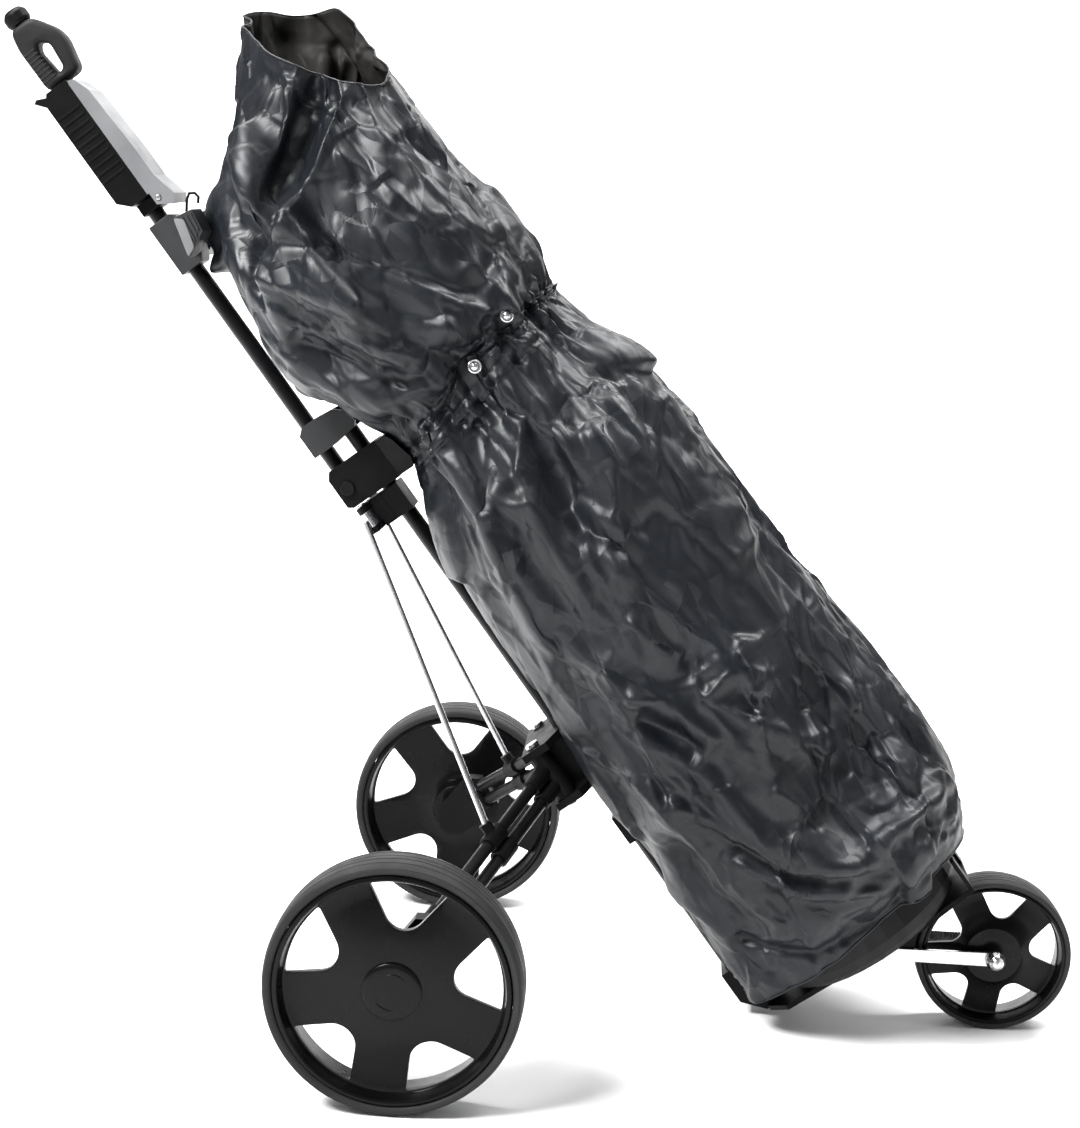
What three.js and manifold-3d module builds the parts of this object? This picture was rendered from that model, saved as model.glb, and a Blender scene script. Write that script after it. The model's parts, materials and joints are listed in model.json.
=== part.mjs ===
// Three-wheeled push cart carrying a golf bag under a rain cover. Millimetres, +Z up, +X the way it rolls.
import * as THREE from "three";
import { mergeVertices } from "three/addons/utils/BufferGeometryUtils.js";
import Module from "manifold-3d";

const wasm = await Module();
wasm.setup();

// ---- driving dimensions -------------------------------------------------------------------------
const LEAN = (37 * Math.PI) / 180; // the frame leans back this much from the vertical
const GAP = 0.3; // air left between neighbouring pieces
const deg = THREE.MathUtils.degToRad;

const MAIN = { n: 311, across: 18, wide: 30, low: -196, high: 606 }; // lower frame tube
const HANDLE = { n: 275, across: 18, wide: 26, low: 516, high: 1062 }; // folding handle tube
const HINGE = { h: 530, pin: 5 }; // pivot between the two tubes

const REAR = { r: 132, half: 28, y: 310, seat: 121, boss: 30, cap: 30 };
const FRONT = { r: 87, half: 24, x: 640.5, seat: 78, boss: 19 };
const AXLE = 8; // rear stub axle radius
const FRONT_AXLE = 6;

const LEG = { n: 279, y: 45, h: 141, tube: 7, wall: 1.6, pitch: 9.5, pin: 5 };
const LEG_RUN = new THREE.Vector3(-163, -210, -30.7); // from the hub pin to the wheel bracket
const STAY = { rod: 3.5, foot: 0.445 };

const BAG = { n: 466, bottom: -220, top: 620, rBottom: 113, rTop: 104, wall: 4 };
const BASE = { r: 119, top: -110 };
const PLATE = { low: -228, high: -222 }; // cradle plate under the bag
const COVER_WALL = 3;
const TUBE_WALL = 1.8;

// ---- solids -------------------------------------------------------------------------------------
function solid(geometry) {
  const bare = new THREE.BufferGeometry();
  bare.setAttribute("position", geometry.getAttribute("position"));
  if (geometry.index) bare.setIndex(geometry.index);
  const merged = mergeVertices(bare, 1e-3);
  return new wasm.Manifold(
    new wasm.Mesh({
      numProp: 3,
      vertProperties: merged.attributes.position.array,
      triVerts: new Uint32Array(merged.index.array),
    }),
  );
}

function geometryOf(manifold) {
  const mesh = manifold.getMesh();
  const count = mesh.vertProperties.length / mesh.numProp;
  const position = new Float32Array(count * 3);
  for (let i = 0; i < count; i++)
    for (let k = 0; k < 3; k++) position[3 * i + k] = mesh.vertProperties[mesh.numProp * i + k];
  const made = new THREE.BufferGeometry();
  made.setAttribute("position", new THREE.BufferAttribute(position, 3));
  made.setIndex(new THREE.BufferAttribute(mesh.triVerts, 1));
  return made;
}

const join = (...parts) => geometryOf(parts.map(solid).reduce((a, b) => a.add(b)));
const cut = (body, ...holes) =>
  geometryOf(holes.map(solid).reduce((a, b) => a.subtract(b), solid(body)));

// Block from x0,y0,z0 to x1,y1,z1.
function block(x0, x1, y0, y1, z0, z1) {
  const g = new THREE.BoxGeometry(x1 - x0, y1 - y0, z1 - z0);
  return g.translate((x0 + x1) / 2, (y0 + y1) / 2, (z0 + z1) / 2);
}

// Round bar between two points.
function bar(a, b, r, sides = 12) {
  const from = new THREE.Vector3(...a);
  const to = new THREE.Vector3(...b);
  const run = new THREE.Vector3().subVectors(to, from);
  const g = new THREE.CylinderGeometry(r, r, run.length(), sides);
  const turn = new THREE.Quaternion().setFromUnitVectors(
    new THREE.Vector3(0, 1, 0),
    run.clone().normalize(),
  );
  return g.applyQuaternion(turn).translate(...from.add(to).multiplyScalar(0.5).toArray());
}

// Outline in (x, z) given as [x, z] pairs, pushed from y0 to y1.
function plateXZ(points, y0, y1) {
  const shape = new THREE.Shape(points.map(([x, z]) => new THREE.Vector2(x, z)));
  const g = new THREE.ExtrudeGeometry(shape, { depth: y1 - y0, bevelEnabled: false, steps: 1 });
  return g.rotateX(Math.PI / 2).translate(0, y1, 0);
}

// Outline in (x, y) pushed from z0 to z1.
function plateXY(points, z0, z1) {
  const shape = new THREE.Shape(points.map(([x, y]) => new THREE.Vector2(x, y)));
  const g = new THREE.ExtrudeGeometry(shape, { depth: z1 - z0, bevelEnabled: false, steps: 1 });
  return g.translate(0, 0, z0);
}

function oval(n, across, wide, grow = 0, sides = 24) {
  const points = [];
  for (let i = 0; i < sides; i++) {
    const a = ((i + 0.5) * 2 * Math.PI) / sides;
    points.push([n + (across / 2 + grow) * Math.cos(a), (wide / 2 + grow) * Math.sin(a)]);
  }
  return points;
}

// Ring or disc about Y from [radius, y] pairs; a facet, not a corner, faces down.
function wheelLathe(profile, sides) {
  const widen = 1 / Math.cos(Math.PI / sides);
  const points = profile.map(([r, y]) => new THREE.Vector2(r * widen, y));
  return new THREE.LatheGeometry([...points, points[0].clone()], sides).rotateY(Math.PI / sides);
}

// ---- the two working frames ---------------------------------------------------------------------
// "cart" is upright with its origin on the ground under the rear axle. "tilt" is the same origin with
// x square to the tubes towards the bag and z up along the tubes.
const cart = new THREE.Group();
const tilt = new THREE.Group();
tilt.rotation.y = -LEAN;
cart.add(tilt);
tilt.updateMatrix();
const toTilt = tilt.matrix.clone().invert();

const finish = (color, metalness, roughness) =>
  new THREE.MeshStandardMaterial({ color, metalness, roughness });
const LOOK = {
  black_paint: () => finish(0x1b1b1d, 0.5, 0.45),
  black_plastic: () => finish(0x202022, 0.0, 0.55),
  grey_plastic: () => finish(0x5a5c60, 0.0, 0.5),
  silver: () => finish(0xb4b6ba, 0.9, 0.35),
  tyre: () => finish(0x2b2b2d, 0.0, 0.9),
  nylon: () => finish(0x26282c, 0.0, 0.35),
  fabric: () => finish(0x1c1c1e, 0.0, 0.9),
  grip: () => finish(0x151516, 0.0, 0.85),
};

function place(frame, name, geometry, look) {
  const mesh = new THREE.Mesh(geometry, LOOK[look]());
  mesh.name = name;
  frame.add(mesh);
  return mesh;
}
const onTilt = (name, geometry, look) => place(tilt, name, geometry, look);
const onCart = (name, geometry, look) => place(cart, name, geometry, look);

// ---- rain cover ---------------------------------------------------------------------------------
// Rings from hem to hood mouth: rear [n, h], front [n, h], half width, and how far the left side is
// raised above the right at the mouth.
const RINGS = [
  [303, -196, 618, -170, 126], [305, -150, 642, -122, 150], [307, -80, 650, -60, 162],
  [308, 20, 645, 30, 163], [309, 120, 638, 130, 162], [310, 220, 631, 235, 159],
  [311, 320, 624, 340, 155], [317, 400, 620, 430, 148], [330, 455, 612, 490, 135],
  [344, 492, 592, 535, 120], [351, 518, 578, 565, 112], [346, 545, 588, 588, 119],
  [328, 580, 597, 615, 133], [318, 619, 599, 640, 141], [300, 648, 599, 668, 146],
  [297, 690, 596, 705, 149], [302, 735, 588, 745, 145], [307, 775, 582, 786, 136],
  [313, 806, 576, 824, 126], [344, 872, 573, 850, 113, 8], [410, 930, 572, 862, 104, 22],
  [474, 998, 570, 872, 97, 42],
];
const AROUND = [0, 6, 12, 18, 26, 35, 46, 58, 71, 84, 97, 110, 124, 138, 152, 166];
const half = AROUND.slice(1).map(deg);
const TURNS = [0, ...half, Math.PI, ...half.map((a) => 2 * Math.PI - a).reverse()];

function coverRing([rn, rh, fn, fh, b, raise = 0], inset) {
  const mid = [(rn + fn) / 2, (rh + fh) / 2];
  const long = Math.hypot(fn - rn, fh - rh) / 2;
  const along = [(fn - rn) / (2 * long), (fh - rh) / (2 * long)];
  return TURNS.map((turn) => {
    const ease = (v) => Math.sign(v) * Math.pow(Math.abs(v), 0.86);
    const d = -(long - inset) * ease(Math.cos(turn));
    const y = (b - inset) * ease(Math.sin(turn));
    const p = [mid[0] + along[0] * d, y, mid[1] + along[1] * d];
    const reach = Math.max(0, Math.abs(y) - 40) * 1.5;
    if (p[2] < 515) p[0] = Math.max(p[0], 342 + inset - reach);
    else if (p[2] < 625) p[0] = Math.max(p[0], 330 + inset - reach);
    p[2] += (raise * y) / b;
    return p;
  });
}

// Skin over a list of rings. A closed list makes a tube wall; an open one gets flat ends.
function skin(loops, closed) {
  const m = TURNS.length;
  const points = loops.flat();
  const index = [];
  for (let k = 0; k + (closed ? 0 : 1) < loops.length; k++) {
    const next = (k + 1) % loops.length;
    for (let i = 0; i < m; i++) {
      const j = (i + 1) % m;
      const [a, b, c, d] = [k * m + i, k * m + j, next * m + j, next * m + i];
      index.push(a, c, b, a, d, c);
    }
  }
  if (!closed)
    for (const [first, flip] of [[0, false], [(loops.length - 1) * m, true]]) {
      const ring = loops[first / m];
      points.push([0, 1, 2].map((k) => ring.reduce((sum, p) => sum + p[k], 0) / m));
      for (let i = 0; i < m; i++) {
        const [a, b] = [first + i, first + ((i + 1) % m)];
        index.push(points.length - 1, flip ? b : a, flip ? a : b);
      }
    }
  const position = new Float32Array(points.length * 3);
  points.forEach((p, i) => position.set(p, 3 * i));
  const g = new THREE.BufferGeometry();
  g.setAttribute("position", new THREE.BufferAttribute(position, 3));
  g.setIndex(index);
  return g;
}
const coverSolid = (grow) => skin(RINGS.map((r) => coverRing(r, -grow)), false);
onTilt(
  "rain_cover",
  skin([0, COVER_WALL].flatMap((inset) => {
    const rings = RINGS.map((r) => coverRing(r, inset));
    return inset ? rings.reverse() : rings;
  }), true),
  "nylon",
);

// ---- frame tubes and their blocks ---------------------------------------------------------------
const mainTube = (grow, low, high) => plateXY(oval(MAIN.n, MAIN.across, MAIN.wide, grow), low, high);
const handleTube = (grow, low, high) =>
  plateXY(oval(HANDLE.n, HANDLE.across, HANDLE.wide, grow), low, high);

const hingePin = (r, y) => bar([HANDLE.n, -y, HINGE.h], [HANDLE.n, y, HINGE.h], r, 16);
onTilt("main_tube", cut(mainTube(0, MAIN.low, MAIN.high), mainTube(-TUBE_WALL, -300, 700)), "black_paint");
onTilt(
  "handle_tube",
  cut(handleTube(0, HANDLE.low, HANDLE.high), handleTube(-TUBE_WALL, 400, 1200),
    hingePin(HINGE.pin + GAP, 40)),
  "black_paint",
);

// Hinge housing: a collar on the main tube with two cheeks that take the handle pivot between them.
{
  const body = join(
    block(288, 330, -26, 26, 508, 556),
    plateXZ([[262, 512], [268, 508], [300, 508], [300, 556], [268, 556], [262, 548]], 14, 26),
    plateXZ([[262, 512], [268, 508], [300, 508], [300, 556], [268, 556], [262, 548]], -26, -14),
  );
  const swing = bar([HANDLE.n, -13.9, HINGE.h], [HANDLE.n, 13.9, HINGE.h], 19, 24);
  onTilt(
    "hinge_housing",
    cut(body, mainTube(GAP, 400, 700), swing, hingePin(HINGE.pin + GAP, 40)),
    "black_plastic",
  );
}
onTilt(
  "hinge_pin",
  join(hingePin(HINGE.pin, 27), bar([HANDLE.n, -30, HINGE.h], [HANDLE.n, -26.4, HINGE.h], 8, 16),
    bar([HANDLE.n, 26.4, HINGE.h], [HANDLE.n, 30, HINGE.h], 8, 16)),
  "silver",
);

// Upper bag rest: a saddle whose hollow front follows the neck of the covered bag.
const saddle = (low, high, reach, halfWide) => plateXY(
  [[MAIN.n + 19.4, -halfWide * 0.6], [reach, -halfWide],
    [reach, halfWide], [MAIN.n + 19.4, halfWide * 0.6]],
  low, high,
);
onTilt("upper_bag_rest", cut(saddle(509, 555, 364, 50), coverSolid(0.6)), "black_plastic");

// Grey latch clamp: wraps the handle tube, its two jaws close on the main tube and slide off backwards.
{
  const body = join(
    plateXZ([[264, 577], [288, 577], [288, 613], [272, 613], [264, 606]], -24, 24),
    plateXZ([[286, 577], [321, 581], [325, 586], [321, 602], [312, 610], [286, 613]], 16.2, 24),
    plateXZ([[286, 577], [321, 581], [325, 586], [321, 602], [312, 610], [286, 613]], -24, -16.2),
  );
  onTilt("latch_clamp", cut(body, handleTube(GAP, 500, 700)), "grey_plastic");
}

// Stay block: bolted to the main tube, ears at both sides take the top pins of the stay rods.
{
  const ear = (z0, z1) => join(
    block(LEG.n - 7, LEG.n + 7, -LEG.y, LEG.y, z0, z1),
    bar([LEG.n, -LEG.y, z0], [LEG.n, -LEG.y, z1], 7, 16),
    bar([LEG.n, LEG.y, z0], [LEG.n, LEG.y, z1], 7, 16),
  );
  const body = join(
    block(286, 322, -23, 23, 471, 505),
    block(270, 300, -24, 24, 474, 505),
    ear(473, 480), ear(498, 505),
  );
  const pins = [-1, 1].map((s) => bar([LEG.n, s * LEG.y, 460], [LEG.n, s * LEG.y, 520], 3 + GAP, 12));
  onTilt("stay_block", cut(body, mainTube(GAP, 400, 600), ...pins), "black_plastic");
}
for (const [side, s] of [["right", -1], ["left", 1]]) {
  onTilt(
    "stay_pin_" + side,
    join(bar([LEG.n, s * LEG.y, 472], [LEG.n, s * LEG.y, 506], 3, 12),
      bar([LEG.n, s * LEG.y, 505.3], [LEG.n, s * LEG.y, 508], 6, 12)),
    "silver",
  );
}

// Leg hub: a collar behind the main tube with ears above and below both leg knuckles.
const HUB = { low: 104, high: 178, ear: 9 };
{
  const earOutline = [[264, -60], [296, -60], [322, -24], [322, 24], [296, 60], [264, 60]];
  const ears = (z0, z1) => plateXY(earOutline, z0, z1);
  const body = join(
    block(272, 324, -26, 26, HUB.low, HUB.high),
    ears(HUB.low, HUB.low + HUB.ear),
    ears(HUB.high - HUB.ear, HUB.high),
  );
  const pins = [-1, 1].map((s) => bar([LEG.n, s * LEG.y, 60], [LEG.n, s * LEG.y, 220], LEG.pin + GAP, 16));
  onTilt("leg_hub", cut(body, mainTube(GAP, 0, 300), ...pins), "black_plastic");
}

// Lower bag rest on the main tube.
onTilt(
  "lower_bag_rest",
  cut(plateXY([[299, -22], [322, -24], [352, -38], [352, 38], [322, 24], [299, 22]], 20, 56),
    mainTube(GAP, 0, 100), coverSolid(0.6)),
  "black_plastic",
);

// ---- rear legs ----------------------------------------------------------------------------------
const lerp = (p, q, f) => p.map((v, i) => v + (q[i] - v) * f);
for (const [side, s] of [["right", -1], ["left", 1]]) {
  const hub = [LEG.n, s * LEG.y, LEG.h];
  const end = [LEG.n + LEG_RUN.x, s * (LEG.y - LEG_RUN.y), LEG.h + LEG_RUN.z];
  const shifted = (p, dz) => [p[0], p[1], p[2] + dz];
  const tubeLine = (dz) => [shifted(hub, dz), shifted(end, dz)];
  const tube = (dz, r, f0, f1) => {
    const [a, b] = tubeLine(dz);
    return bar(lerp(a, b, f0), lerp(a, b, f1), r, 16);
  };
  const pinHole = bar([LEG.n, s * LEG.y, 60], [LEG.n, s * LEG.y, 220], LEG.pin + GAP, 16);

  const knuckle = join(
    bar([LEG.n, s * LEG.y, HUB.low + HUB.ear + GAP], [LEG.n, s * LEG.y, HUB.high - HUB.ear - GAP], 13, 20),
    join(tube(LEG.pitch, LEG.tube + 3, 0.02, 0.14), tube(-LEG.pitch, LEG.tube + 3, 0.02, 0.14)),
  );
  onTilt(
    "leg_knuckle_" + side,
    cut(knuckle, pinHole,
      tube(LEG.pitch, LEG.tube + GAP, 0.08, 0.3), tube(-LEG.pitch, LEG.tube + GAP, 0.08, 0.3)),
    "black_plastic",
  );
  for (const [level, dz] of [["upper", LEG.pitch], ["lower", -LEG.pitch]])
    onTilt(
      "leg_tube_" + level + "_" + side,
      cut(tube(dz, LEG.tube, 0.082, 0.99), tube(dz, LEG.tube - LEG.wall, 0, 1.1)),
      "black_paint",
    );
  onTilt(
    "leg_pin_" + side,
    join(bar([LEG.n, s * LEG.y, HUB.low - 4], [LEG.n, s * LEG.y, HUB.high + GAP], LEG.pin, 16),
      bar([LEG.n, s * LEG.y, HUB.high + GAP], [LEG.n, s * LEG.y, HUB.high + 5], 8, 16)),
    "silver",
  );

  // Clamp that ties the stay rod to both leg tubes.
  const f = STAY.foot;
  const foot = lerp(...tubeLine(LEG.pitch + LEG.tube + 6), f);
  const clampBody = join(
    tube(LEG.pitch, LEG.tube + 3.2, f - 0.05, f + 0.05),
    tube(-LEG.pitch, LEG.tube + 3.2, f - 0.05, f + 0.05),
    bar(shifted(foot, -8), shifted(foot, 6), 7, 12),
  );
  const rodTop = [LEG.n - 4.5, s * (LEG.y + 6.5), 489];
  onTilt(
    "rod_clamp_" + side,
    cut(clampBody, tube(LEG.pitch, LEG.tube + GAP, 0, 1), tube(-LEG.pitch, LEG.tube + GAP, 0, 1),
      bar(foot, rodTop, STAY.rod + GAP, 12)),
    "black_plastic",
  );
  const eye = join(bar([LEG.n, s * LEG.y, 480.3], [LEG.n, s * LEG.y, 497.7], 7, 16),
    bar(lerp(foot, rodTop, 0.006), rodTop, STAY.rod, 12));
  onTilt(
    "stay_rod_" + side,
    cut(eye, bar([LEG.n, s * LEG.y, 400], [LEG.n, s * LEG.y, 560], 3 + GAP, 12)),
    "silver",
  );

  // Wheel bracket: sockets for both tubes and the stub axle, upright like the wheel.
  const toCart = (g) => g.applyMatrix4(tilt.matrix);
  const y0 = s * (REAR.y - 42);
  const y1 = s * (REAR.y - 62);
  const at = new THREE.Vector3(...end).applyMatrix4(tilt.matrix);
  const [ya, yb] = [Math.min(y0, y1), Math.max(y0, y1)];
  const cheek = plateXZ(
    [[-17, 118], [-8, 110], [10, 110], [20, 120], [at.x + 26, at.z - 22], [at.x + 30, at.z - 4],
      [at.x + 8, at.z + 27], [at.x - 12, at.z + 27], [-19, 142]],
    ya, yb,
  );
  const sockets = [LEG.pitch, -LEG.pitch].map((dz) => toCart(tube(dz, LEG.tube + 3.5, 0.88, 0.985)));
  const stub = bar([0, s * (REAR.y - 50), REAR.r], [0, s * (REAR.y + REAR.half - 4), REAR.r], AXLE, 20);
  const flange = bar([0, s * (REAR.y - 45), REAR.r], [0, s * (REAR.y - 29), REAR.r], 13, 20);
  onCart(
    "wheel_bracket_" + side,
    cut(join(cheek, ...sockets, stub, flange), toCart(tube(LEG.pitch, LEG.tube + GAP, 0.5, 0.993)),
      toCart(tube(-LEG.pitch, LEG.tube + GAP, 0.5, 0.993))),
    "black_plastic",
  );
}

// ---- wheels -------------------------------------------------------------------------------------
// One window of the rim: wide and arched outside, U-shaped towards the hub.
function windowOutline(r, turn) {
  const points = [];
  for (let i = 0; i <= 6; i++) {
    const a = THREE.MathUtils.degToRad(-19 + (38 * i) / 6);
    points.push([0.84 * r * Math.cos(a), 0.84 * r * Math.sin(a)]);
  }
  const [mid, half] = [0.6 * r, 0.125 * r];
  for (let i = 0; i <= 6; i++) {
    const a = Math.PI / 2 + (Math.PI * i) / 6;
    points.push([mid + half * Math.cos(a), half * Math.sin(a)]);
  }
  const [c, s] = [Math.cos(turn), Math.sin(turn)];
  return points.map(([x, z]) => [x * c - z * s, x * s + z * c]);
}

function makeWheel(tag, size, at, out, bore, turn) {
  const { r, half, seat, boss } = size;
  const sides = r > 100 ? 48 : 40;
  const tread = [
    [seat + GAP, -half + 4], [seat + 3, -half + 1], [r - 5, -half], [r - 1.2, -half + 5], [r, -half + 12],
    [r, half - 12], [r - 1.2, half - 5], [r - 5, half], [seat + 3, half - 1], [seat + GAP, half - 4],
  ];
  const tyre = wheelLathe(tread, sides).translate(...at);
  onCart("tyre_" + tag, tyre, "tyre");

  const lip = r * 0.86;
  const web0 = out < 0 ? -half + 9 : half - 19;
  const profile = [
    [bore + GAP, -half + 3], [boss, -half + 3], [boss, web0], [lip, web0], [lip, -half + 3],
    [seat, -half + 3], [seat, half - 3], [lip, half - 3], [lip, web0 + 10], [boss, web0 + 10],
    [boss, half - 3], [bore + GAP, half - 3],
  ];
  const windows = [];
  for (let k = 0; k < 5; k++)
    windows.push(plateXZ(windowOutline(r, turn + (k * 2 * Math.PI) / 5), -half - 5, half + 5));
  onCart("rim_" + tag, cut(wheelLathe(profile, sides), ...windows).translate(...at), "black_plastic");
}

for (const [side, s, turn] of [["right", -1, 10.5], ["left", 1, 18]]) {
  makeWheel("rear_" + side, REAR, [0, s * REAR.y, REAR.r], s, AXLE, deg(turn));
  const face = s * (REAR.y + REAR.half - 3 + GAP);
  const cap = [[0, 0], [REAR.cap, 0], [REAR.cap, 2], [REAR.cap - 4, 6], [0, 7.5]].map(
    ([r, y]) => new THREE.Vector2(r, y),
  );
  const g = new THREE.LatheGeometry(cap, 28);
  if (s < 0) g.rotateX(Math.PI);
  onCart("hub_cap_rear_" + side, g.translate(0, face, REAR.r), "black_plastic");
}
makeWheel("front", FRONT, [FRONT.x, 0, FRONT.r], -1, FRONT_AXLE, deg(10));

// ---- front fork and foot cradle -----------------------------------------------------------------
const ARM = { y0: 30, y1: 34, rear: 512 };
for (const [side, s] of [["right", -1], ["left", 1]]) {
  const [ya, yb] = s < 0 ? [-ARM.y1, -ARM.y0] : [ARM.y0, ARM.y1];
  const outline = [[ARM.rear, 80], [ARM.rear, 94], [FRONT.x, 95]];
  for (let i = 1; i < 8; i++) {
    const a = Math.PI / 2 - (Math.PI * i) / 8;
    outline.push([FRONT.x + 8 * Math.cos(a), FRONT.r + 8 * Math.sin(a)]);
  }
  outline.push([FRONT.x, 79]);
  const hole = bar([FRONT.x, -60, FRONT.r], [FRONT.x, 60, FRONT.r], FRONT_AXLE + GAP, 16);
  onCart("fork_arm_" + side, cut(plateXZ(outline, ya, yb), hole), "silver");
}
onCart("front_axle", bar([FRONT.x, -38, FRONT.r], [FRONT.x, 38, FRONT.r], FRONT_AXLE, 16), "silver");
for (const [side, s] of [["right", -1], ["left", 1]]) {
  const bore = FRONT_AXLE + GAP;
  const dome = [[11, 5], [9.5, 8], [8, 11], [4.5, 14], [0, 15]];
  const nut = [[bore, 0], [11, 0], ...dome, [0, 5], [bore, 5]];
  const g = new THREE.LatheGeometry([...nut, nut[0]].map(([r, y]) => new THREE.Vector2(r, y)), 18);
  if (s < 0) g.rotateX(Math.PI);
  onCart("front_nut_" + side, g.translate(FRONT.x, s * (ARM.y1 + GAP), FRONT.r), "silver");
}

// Cradle: socket on the main tube, forked plate and two lips under the bag, and a keel for the fork arms.
{
  const inTilt = (g) => g.applyMatrix4(tilt.matrix);
  const sweep = (half) => bar([FRONT.x, -half, FRONT.r], [FRONT.x, half, FRONT.r], FRONT.r + 3, 40);
  const outline = [
    [322, -30], [345, -60], [520, -74], [591, -56], [591, 56], [520, 74], [345, 60], [322, 30],
  ];
  const plate = cut(inTilt(plateXY(outline, PLATE.low, PLATE.high)), sweep(FRONT.half + 3.5));
  const lips = [-1, 1].map((s) => {
    const [near, far] = [30 * s, 56 * s];
    return inTilt(block(586.4, 591, Math.min(near, far), Math.max(near, far), PLATE.low, -186));
  });
  const socket = inTilt(
    plateXZ([
      [297, -204], [318, PLATE.low], [340, PLATE.low], [340, -205], [330, -182], [328, -166], [297, -166],
    ], -22, 22),
  );
  const keel = cut(
    plateXZ([[ARM.rear - 8, 78], [560, 78], [560, 139], [500, 94], [500, 84]], -29.7, 29.7),
    sweep(40),
  );
  const body = join(plate, ...lips, socket, keel);
  onCart("foot_cradle", cut(body, inTilt(mainTube(GAP, MAIN.low - GAP, 0))), "black_plastic");
}

// ---- bag ----------------------------------------------------------------------------------------
// Lathe about the tube direction, standing on the cradle plate.
function lathe(profile, sides, n) {
  const points = profile.map(([r, h]) => new THREE.Vector2(r, h));
  return new THREE.LatheGeometry(points, sides).rotateX(Math.PI / 2).translate(n, 0, 0);
}
onTilt(
  "bag_body",
  lathe(
    [[0, BAG.bottom + 8], [BAG.rBottom - 4, BAG.bottom + 8], [BAG.rBottom, BAG.bottom + 16],
      [BAG.rTop, BAG.top - 60], [BAG.rTop, BAG.top - 4], [BAG.rTop - BAG.wall, BAG.top - 4],
      [BAG.rBottom - 2 * BAG.wall, -190], [0, -190]],
    32, BAG.n,
  ),
  "fabric",
);
onTilt(
  "bag_base",
  lathe(
    [[0, BAG.bottom], [BASE.r - 14, BAG.bottom], [BASE.r - 3, BAG.bottom + 9], [BASE.r, BAG.bottom + 20],
      [BASE.r, BASE.top], [BAG.rBottom + GAP, BASE.top], [BAG.rBottom + GAP, BAG.bottom + 15.5],
      [BAG.rBottom - 3.5, BAG.bottom + 7.4], [0, BAG.bottom + 7.4]],
    32, BAG.n,
  ),
  "black_plastic",
);
// Moulded cuff capping the top edge of the bag.
onTilt(
  "bag_cuff",
  lathe(
    [[BAG.rTop + GAP, BAG.top - 45], [BAG.rTop + 4, BAG.top - 45], [BAG.rTop + 4, BAG.top],
      [BAG.rTop - 9, BAG.top], [BAG.rTop - 9, BAG.top - 3.6], [BAG.rTop + GAP, BAG.top - 3.6],
      [BAG.rTop + GAP, BAG.top - 45]],
    32, BAG.n,
  ),
  "black_plastic",
);

// ---- handle: grip, console, lid, trigger and bag bracket ----------------------------------------
{
  const grip = new THREE.Shape(
    [[258, 1064], [292, 1052], [299, 1050], [310, 1104], [306, 1114], [288, 1140], [262, 1140], [258, 1120]]
      .map(([x, z]) => new THREE.Vector2(x, z)),
  );
  grip.holes.push(new THREE.Path([[278, 1076], [276, 1104], [281, 1112], [291, 1106], [287, 1076]]
    .map(([x, z]) => new THREE.Vector2(x, z))));
  const g = new THREE.ExtrudeGeometry(grip, { depth: 26, bevelEnabled: false })
    .rotateX(Math.PI / 2)
    .translate(0, 13, 0);
  const sleeve = block(250, 300, -40, 40, 1000, 1062.5);
  onTilt("grip_loop", cut(g, sleeve), "grip");
  const cap = [[0, 0], [12, 0], [14, 4], [14, 12], [10, 17], [0, 19]];
  const turned = new THREE.LatheGeometry(cap.map(([r, y]) => new THREE.Vector2(r, y)), 24)
    .rotateX(Math.PI / 2)
    .translate(275, 0, 1140.4);
  onTilt("grip_end_cap", turned, "black_plastic");
}

const CONSOLE = { low: 912, high: 1061, back: 250, face: 284.4, half: 27 };
{
  const body = plateXZ(
    [[CONSOLE.back, 924], [262, CONSOLE.low], [CONSOLE.face, CONSOLE.low], [CONSOLE.face, CONSOLE.high],
      [258, CONSOLE.high], [CONSOLE.back, 1050]],
    -CONSOLE.half, CONSOLE.half,
  );
  const slot = plateXZ([[240, 1040], [261, 1040], [261, 1070], [240, 1070]], -6.5, 6.5);
  onTilt("console_body", cut(body, handleTube(GAP, 900, 1070), slot), "black_plastic");
}
const LID = { pin: 3, n: 293, h: 903 };
{
  const outline = [
    [284.8, 912.5], [284.8, 1054], [286, 1058], [292, 1056], [299, 1038], [303, 960],
    [303, 925], [310, 897], [303, 889], [296, 893], [287, 898], [287, 912.5],
  ];
  const body = plateXZ(outline, -29, 29);
  const clear = block(280, 299, -16, 16, 880, 911);
  const hole = bar([LID.n, -40, LID.h], [LID.n, 40, LID.h], LID.pin + GAP, 12);
  onTilt("console_lid", cut(body, clear, hole), "grey_plastic");
}
// Lug under the console that carries the lid pin.
onTilt(
  "lid_lug",
  cut(plateXZ([[264, 897], [290, 897], [299, 899], [299, 908], [290, 910.5], [264, 910.5]], -15.7, 15.7),
    handleTube(GAP, 800, 1000), bar([LID.n, -40, LID.h], [LID.n, 40, LID.h], LID.pin + GAP, 12),
    block(295.5, 305, -16, 16, 890, 911)),
  "black_plastic",
);
onTilt("lid_pin", bar([LID.n, -30.5, LID.h], [LID.n, 30.5, LID.h], LID.pin, 12), "silver");
{
  const lever = [[255, 1043], [259, 1047], [256, 1060], [240, 1067], [236, 1064], [246, 1052], [251, 1043]];
  const trigger = plateXZ(lever, -6, 6);
  onTilt("fold_trigger", trigger, "black_plastic");
}
{
  const wing = [[289, 828], [318, 842], [322, 868], [300, 872]];
  const body = join(
    plateXZ([[262, 822], [289, 822], [300, 838], [300, 872], [289, 884], [262, 884]], -20, 20),
    plateXZ(wing, -64, -18), plateXZ(wing, 18, 64),
  );
  onTilt("handle_bracket", cut(body, handleTube(GAP, 700, 1000)), "grey_plastic");
}
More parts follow.
